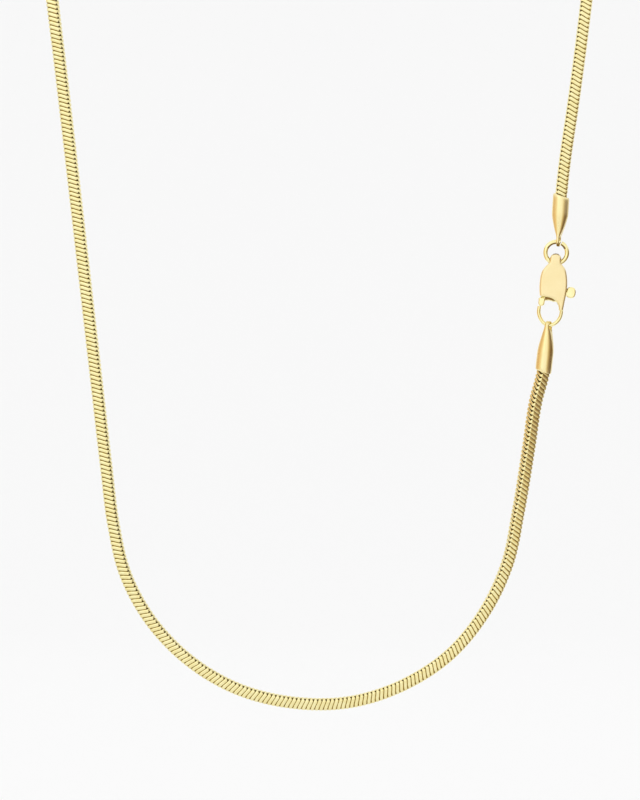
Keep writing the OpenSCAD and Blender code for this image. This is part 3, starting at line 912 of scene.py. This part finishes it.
def slot_cutter(shape, thick):
    verts = [(q[0], q[1], z) for z in (-thick / 2, thick / 2) for q in shape]
    n = len(shape)
    faces = [list(range(n - 1, -1, -1)), [n + k for k in range(n)]]
    faces += [(k, (k + 1) % n, n + (k + 1) % n, n + k) for k in range(n)]
    obj = new_object("slot", verts, faces, [], scale=1.0)
    solid = bmesh.new()
    solid.from_mesh(obj.data)
    bmesh.ops.recalc_face_normals(solid, faces=solid.faces)
    solid.to_mesh(obj.data)
    solid.free()
    return obj


def drilled(obj, radius, sides, place=None):
    """Bores a round hole along X, or along X of the place that is given."""
    profile = both_ends([(-DRILL_REACH, 0), (-DRILL_REACH, radius)])
    cut_away(obj, lathe("bore", profile, sides, body_gold, place, scale=1.0))


def set_materials(obj, materials):
    """These materials only, with every face on the first of them."""
    obj.data.materials.clear()
    for material in materials:
        obj.data.materials.append(material)
    obj.data.polygons.foreach_set("material_index", np.zeros(len(obj.data.polygons), np.int32))


def hook():
    hook_len = HOOK_REACH - BODY_LEN
    path = curve([below_neck(q[0] * CLASP_W, HOOK_REACH - q[1] * hook_len) for q in HOOK_LINE], HOOK_STEPS)
    path = np.vstack([path, path[-1] + TIP_LEFT * unit(path[-1] - path[-2])])
    n = len(path)
    past = np.arange(n) / (n - 1)
    half_t = HOOK_T / 2 + LEG_SWELL * np.clip((LEG_SHARE - past) / LEG_SHARE, 0, 1)
    return wire("hook", path, np.full(n, HOOK_W / 2), half_t, HOOK_SIDES, body_gold)


def clasp_body():
    """The body and hook in one casting. The hook and the rounded lower edge are polished."""
    shell = plate("clasp_casting", body_outline(), CLASP_T, BODY_ROUND, body_gold)
    joined(shell, [hook()])
    melted(shell, BODY_VOXEL, BODY_SOFTENING)
    cut_away(shell, slot_cutter(from_rivet(SLOT_SHAPE), SLOT_T))
    drilled(shell, NECK_HOLE_D / 2, sides=NECK_HOLE_SIDES)
    set_materials(shell, [body_gold, polished_gold])
    edge = curve(on_body(LOWER_EDGE), OUTLINE_STEPS)
    for polygon in shell.data.polygons:
        x, y = polygon.center[:2]
        if y < np.interp(x, edge[:, 0], edge[:, 1]) + POLISHED_RIM:
            polygon.material_index = 1
    put_in_place(shell, Matrix.Scale(MM, 4) @ CLASP_PLACE, CLASP_SHARP)
    return shell


casting = clasp_body()
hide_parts("clasp_body")
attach(casting, BODY)

# Lever. Inside the body and under its lower edge the casting gets painted shade
KNOB_H = 1.86            # the knob is taller than it is wide
KNOB_SQUARE = 2.4        # two would be an oval, more is squarer
KNOB_ROUND = 0.22
ARM_ROUND = 0.12
BOSS_ROUND = 0.1
GATE_ROUND = 0.24
LEVER_VOXEL = 0.045
LEVER_SOFTENING = 3
WEB_FROM = RIVET_AT[0] - 0.03 * CLASP_W     # the web lies to the right of this
WEB_TO = RIVET_AT[0] + 0.6 * CLASP_W        # the knob starts here
WEB_TOP = RIVET_AT[1] - 0.17 * BODY_LEN     # the gate stays free of painted shade below this
WEB_RIM = 0.14           # the painted shade starts this far above the web's foot


def knob_outline():
    knob = []
    for a in np.radians(np.arange(0, 360, 6)):
        ca, sa = math.cos(a), math.sin(a)
        reach = (abs(ca) ** KNOB_SQUARE + abs(sa) ** KNOB_SQUARE) ** (-1 / KNOB_SQUARE)
        knob.append(KNOB_AT + reach * np.array([KNOB_D / 2 * ca, KNOB_H / 2 * sa]))
    return knob


def clasp_lever():
    arm_end = [KNOB_AT + KNOB_D * np.array([q[0], -q[1]]) for q in ARM_END]
    arm = curve(np.concatenate([from_rivet(ARM_TOP), arm_end, from_rivet(WEB_SHAPE)]), OUTLINE_STEPS)
    boss = np.array([RIVET_AT + BOSS_R * np.array([math.cos(a), math.sin(a)])
                     for a in np.radians(np.arange(0, 360, 10))])
    gate = curve(from_rivet(GATE_SHAPE + GATE_SHAPE[:1]), OUTLINE_STEPS)
    plates = [
        plate("arm", arm[::-1], LEVER_T, ARM_ROUND, polished_gold),
        plate("knob", knob_outline(), LEVER_T, KNOB_ROUND, polished_gold),
        plate("boss", boss, LEVER_T, BOSS_ROUND, polished_gold),
        plate("gate", gate[::-1], GATE_T, GATE_ROUND, polished_gold),
    ]
    lever = joined(plates[0], plates[1:])
    melted(lever, LEVER_VOXEL, LEVER_SOFTENING)
    drilled(lever, RIVET_D / 2 + RIVET_ROOM, RIVET_SIDES, RIVET_PLACE)
    set_materials(lever, [polished_gold, hollow_shade_gold])
    foot = curve(from_rivet(WEB_SHAPE[2:7]), OUTLINE_STEPS)[::-1]
    # Faces of the web inside the slot and under the body's lower edge get the hollow colour as painted shade.
    for polygon in lever.data.polygons:
        x, y = polygon.center[:2]
        above = y > np.interp(x, foot[:, 0], foot[:, 1]) + WEB_RIM
        if (x > WEB_FROM or y > WEB_TOP) and x < WEB_TO and above:
            polygon.material_index = 1
    put_in_place(lever, Matrix.Scale(MM, 4) @ CLASP_PLACE, CLASP_SHARP)
    lever.name = lever.data.name = "lever_casting"
    return lever


lever = clasp_lever()
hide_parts("clasp_lever")
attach(lever, LEVER)

# Rivet, a plain pin just short of the body's faces, with rounded rims
PIN_SHORT = 0.05
PIN_ROUND = 0.08


def rivet_pin():
    r = RIVET_D / 2
    end = CLASP_T / 2 - PIN_SHORT
    rim = [(-end, 0), (-end, r - PIN_ROUND), (-end + 0.03, r - 0.02), (-end + PIN_ROUND, r)]
    return lathe("rivet_pin", both_ends(rim), RIVET_SIDES, polished_gold, CLASP_PLACE @ RIVET_PLACE)


pin = rivet_pin()
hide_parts("clasp_rivet")
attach(pin, BODY)

# Stage, from here on in metres: a pale floor that sweeps up into a wall behind
PAPER_TONE = (0.5, 0.5, 0.5, 1)
PAPER_ROUGHNESS = 0.9
PAPER_GLOW = 0.82
FLOOR_Z = -0.17
FLOOR_FRONT = -2.4
WALL_Y = 1.9
WALL_TOP = 2.4
HALF_WIDTH = 3.0
SWEEP_R = 0.5


def paper():
    """White paper with light of its own, so that it stays even."""
    material, tree, shader = nodes_of("paper")
    shader.inputs["Base Color"].default_value = PAPER_TONE
    shader.inputs["Roughness"].default_value = PAPER_ROUGHNESS
    shader.inputs["Emission Color"].default_value = PAPER_TONE
    shader.inputs["Emission Strength"].default_value = PAPER_GLOW
    return material


sweep = [(FLOOR_FRONT, FLOOR_Z), (WALL_Y - SWEEP_R, FLOOR_Z)]
sweep += [(WALL_Y - SWEEP_R * (1 - math.sin(a)), FLOOR_Z + SWEEP_R * (1 - math.cos(a)))
          for a in np.radians(np.arange(10, 91, 10))]
sweep += [(WALL_Y, WALL_TOP)]
stage_points = np.array([[(x, y, z) for x in (-HALF_WIDTH, HALF_WIDTH)] for y, z in sweep])
backdrop = grid_object("backdrop", stage_points, [paper()])


def glowing(name):
    """Light taken from the mesh's own colours, for what the metal mirrors."""
    material, tree, shader = nodes_of(name)
    tree.nodes.clear()
    colour = add(tree, "ShaderNodeVertexColor", layer_name="glow")
    light = add(tree, "ShaderNodeEmission")
    out = add(tree, "ShaderNodeOutputMaterial")
    tree.links.new(colour.outputs["Color"], light.inputs["Color"])
    tree.links.new(light.outputs["Emission"], out.inputs["Surface"])
    return material


def glow_card(name, points, colours):
    """A card through a grid of points that only the metal mirrors, with a colour for each point."""
    obj = grid_object(name, points, [glowing(name)])
    layer = obj.data.color_attributes.new("glow", "FLOAT_COLOR", "POINT")
    layer.data.foreach_set("color", np.asarray(colours, np.float32).ravel())
    obj.visible_camera = False
    obj.visible_diffuse = False
    obj.visible_shadow = False
    obj.visible_transmission = False


OPEN_LIGHT = 1.0
CARD_STEPS = 41
CARD_CENTRE = (0.039, FRONT_Y * MM)
RIGHT_CARD_R = 0.07
LEFT_CARD_R = 0.04
LEFT_BACK_R = 0.041
# Height and the strength of the card's colour there
RIGHT_LEVELS = [(-0.2, 0.8), (-0.085, 0.8), (-0.072, 1.0), (-0.055, 1.0), (-0.04, 0.75), (-0.024, 0.1)]
LEFT_LEVELS = [(-0.082, 0.0), (-0.074, 1.0), (-0.036, 1.0), (-0.03, 0.0)]
# Degrees round the clasp from the camera's side, and the colour there
RIGHT_STOPS = [
    [22, 1.0, 1.0, 1.0], [32, 0.88, 0.77, 0.52], [42, 0.64, 0.48, 0.25], [52, 0.42, 0.27, 0.11],
    [64, 0.23, 0.13, 0.045], [80, 0.14, 0.07, 0.02], [98, 0.12, 0.055, 0.018], [112, 0.24, 0.15, 0.08],
    [124, 0.62, 0.54, 0.4], [136, 1.0, 1.0, 1.0],
]
LEFT_STOPS = [
    [-142, 1.0, 0.95, 0.85], [-128, 0.85, 0.68, 0.5], [-112, 0.68, 0.44, 0.27], [-94, 0.76, 0.5, 0.26],
    [-75, 0.84, 0.6, 0.35], [-58, 0.92, 0.78, 0.52], [-44, 1.0, 0.98, 0.92],
]
LEFT_BACK_STOPS = [[-143, 1.0, 1.0, 1.0], [-43, 1.0, 1.0, 1.0]]
# The top card is a small dark card over the neck that only the metal mirrors: a painted dark reflection along
# the neck's top rim.
TOP_CARD_X = (0.0382, 0.0408)
TOP_CARD_Y = (-0.0536, -0.0506)
TOP_CARD_Z = -0.0495
TOP_CARD_COLOUR = [0.2, 0.12, 0.04, 1.0]


def arc_card(name, radius, levels, stops):
    """An upright card curved round the clasp's side of the necklace."""
    stops = np.array(stops, float)
    turns = np.linspace(stops[0, 0], stops[-1, 0], CARD_STEPS)
    a = np.radians(turns)
    x, y = CARD_CENTRE[0] + radius * np.sin(a), CARD_CENTRE[1] - radius * np.cos(a)
    points = np.array([[(x[k], y[k], z) for z, strength in levels] for k in range(len(a))])
    colours = np.ones((len(a), len(levels), 4))
    for c in range(3):
        tone = np.interp(turns, stops[:, 0], stops[:, c + 1])
        for k, (z, strength) in enumerate(levels):
            colours[:, k, c] = OPEN_LIGHT + (tone - OPEN_LIGHT) * strength
    glow_card(name, points, colours)


arc_card("right_card", RIGHT_CARD_R, RIGHT_LEVELS, RIGHT_STOPS)
arc_card("left_card", LEFT_CARD_R, LEFT_LEVELS, LEFT_STOPS)
arc_card("left_card_back", LEFT_BACK_R, LEFT_LEVELS, LEFT_BACK_STOPS)
top_points = np.array([[(x, y, TOP_CARD_Z) for y in TOP_CARD_Y] for x in TOP_CARD_X])
glow_card("top_card", top_points, TOP_CARD_COLOUR * 4)


# Lamps and the light all round
def lamp(name, at, target, size, power):
    data = bpy.data.lights.new(name, "AREA")
    data.shape = "RECTANGLE"
    data.size, data.size_y = size
    data.energy = power
    obj = bpy.data.objects.new(name, data)
    obj.location = at
    obj.rotation_euler = (Vector(target) - Vector(at)).to_track_quat("-Z", "Y").to_euler()
    bpy.context.scene.collection.objects.link(obj)


MIDDLE = (0.0, -0.05, -0.075)
WALL_MIDDLE = (0.0, WALL_Y, -0.1)
lamp("key_lamp", at=(-0.5, -0.9, 0.35), target=MIDDLE, size=(0.7, 0.7), power=0.5)
lamp("front_lamp", at=(0.15, -1.1, 0.15), target=MIDDLE, size=(0.8, 0.8), power=0.2)
lamp("wall_lamp", at=(0.0, 0.5, 1.4), target=WALL_MIDDLE, size=(1.8, 0.6), power=2.0)

WORLD_TONE = (0.94, 0.94, 0.94, 1)
WORLD_STRENGTH = 1.06
world = bpy.data.worlds.new("studio")
world.use_nodes = True
world.node_tree.nodes["Background"].inputs["Color"].default_value = WORLD_TONE
world.node_tree.nodes["Background"].inputs["Strength"].default_value = WORLD_STRENGTH
bpy.context.scene.world = world
bpy.context.scene.view_settings.view_transform = "Standard"
bpy.context.scene.view_settings.look = "None"

# Camera: level and square to the front loop, 6 px to the millimetre
PX_PER_MM = 6
PICTURE_H = 800
SENSOR_H = 24.0
DISTANCE = 1.2
VIEW_TOP = -8.0 * MM
VIEW_HEIGHT = PICTURE_H / PX_PER_MM * MM
camera_data = bpy.data.cameras.new("camera")
camera_data.sensor_fit = "VERTICAL"
camera_data.sensor_height = SENSOR_H
camera_data.lens = SENSOR_H * DISTANCE / VIEW_HEIGHT
camera_data.clip_start = 0.01
camera_data.clip_end = 20.0
camera = bpy.data.objects.new("camera", camera_data)
camera.location = (0.0, FRONT_Y * MM - DISTANCE, VIEW_TOP - VIEW_HEIGHT / 2)
camera.rotation_euler = (math.radians(90), 0.0, 0.0)
bpy.context.scene.collection.objects.link(camera)
bpy.context.scene.camera = camera
